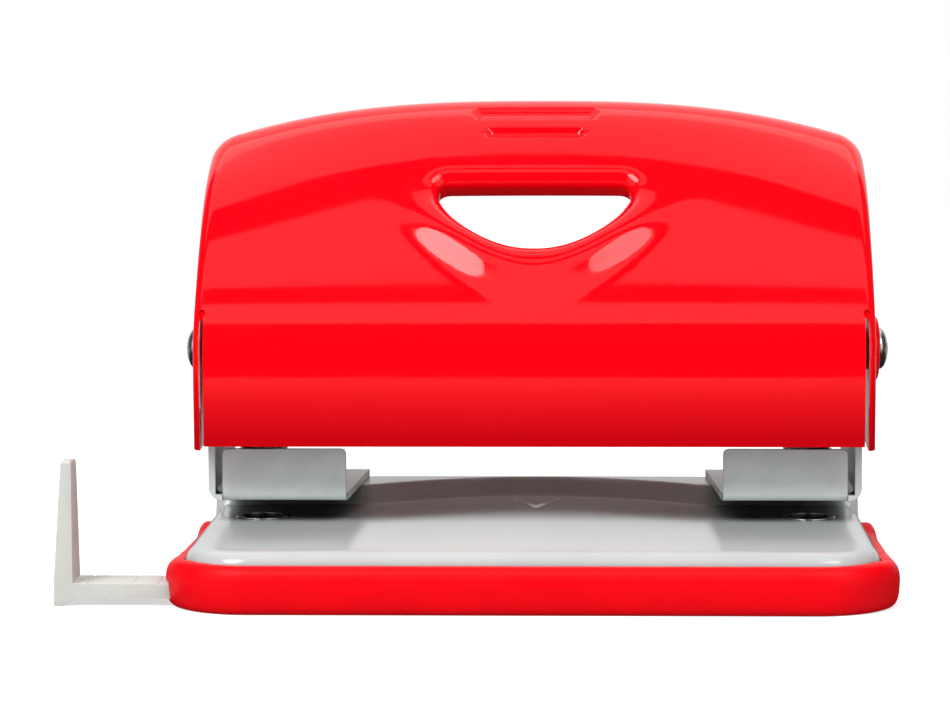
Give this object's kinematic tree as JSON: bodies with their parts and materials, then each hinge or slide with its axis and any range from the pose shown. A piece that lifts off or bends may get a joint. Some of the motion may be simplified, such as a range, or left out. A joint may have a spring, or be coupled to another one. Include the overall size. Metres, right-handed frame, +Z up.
{
  "type": "two-hole punch",
  "caption": "Desk punch with a pressed steel lever, sprung cutting pins over a pressed base plate, a plastic chip tray and a sliding paper guide.",
  "frame": {"origin": "on the plane of the desk, midway between the axes of the two cutting pins", "axes": "+X to the right as seen from the paper side, +Y away from the paper side, +Z up"},
  "size_m": [0.1188, 0.0701, 0.0684],
  "materials": {
    "tray_plastic": "satin red moulding",
    "base_paint": "gloss light grey paint",
    "die_steel": "bright turned steel",
    "bracket_paint": "satin grey paint",
    "rivet_steel": "nickel-plated steel",
    "bush_steel": "turned steel",
    "pin_steel": "ground tool steel",
    "spring_steel": "drawn spring wire",
    "clip_steel": "oiled spring steel",
    "press_steel": "zinc-plated steel",
    "lever_paint": "gloss red paint",
    "guide_plastic": "matte light grey moulding"
  },
  "bodies": {
    "tray": {"chip_tray": "tray_plastic"},
    "base": {"base_plate": "base_paint", "right_die_ring": "die_steel", "left_die_ring": "die_steel", "right_bracket": "bracket_paint", "left_bracket": "bracket_paint", "right_inner_bracket_rivet": "rivet_steel", "left_inner_bracket_rivet": "rivet_steel", "right_outer_bracket_rivet": "rivet_steel", "left_outer_bracket_rivet": "rivet_steel", "right_pivot_rivet": "rivet_steel", "left_pivot_rivet": "rivet_steel", "right_pivot_bush": "bush_steel", "left_pivot_bush": "bush_steel", "right_return_spring": "spring_steel", "left_return_spring": "spring_steel"},
    "lever": {"lever": "lever_paint", "press_plate": "press_steel"},
    "right_punch": {"right_punch_pin": "pin_steel", "right_retaining_clip": "clip_steel"},
    "left_punch": {"left_punch_pin": "pin_steel", "left_retaining_clip": "clip_steel"},
    "guide": {"paper_guide": "guide_plastic"}
  },
  "joints": [
    {"name": "base_lift", "type": "slide", "parent": "tray", "child": "base", "axis": [0, 0, 1], "range_m": [0, 0.012]},
    {"name": "guide_slide", "type": "slide", "parent": "tray", "child": "guide", "axis": [-1, 0, 0], "range_m": [-0.0115, 0.07]},
    {"name": "lever_pivot", "type": "hinge", "parent": "base", "child": "lever", "pos_m": [0, 0.016, 0.0315], "axis": [1, 0, 0], "range_deg": [0, 17.5], "stiffness_Nm_per_rad": 1, "springref_deg": -8.59},
    {"name": "right_punch_slide", "type": "slide", "parent": "base", "child": "right_punch", "axis": [0, 0, -1], "range_m": [0, 0.0049], "deforming": ["right_return_spring"]},
    {"name": "left_punch_slide", "type": "slide", "parent": "base", "child": "left_punch", "axis": [0, 0, -1], "range_m": [0, 0.0049], "deforming": ["left_return_spring"]}
  ],
  "couplings": [
    {"joint": "right_punch_slide", "follows": "lever_pivot", "m_per_rad": 0.015716},
    {"joint": "left_punch_slide", "follows": "lever_pivot", "m_per_rad": 0.015716}
  ]
}
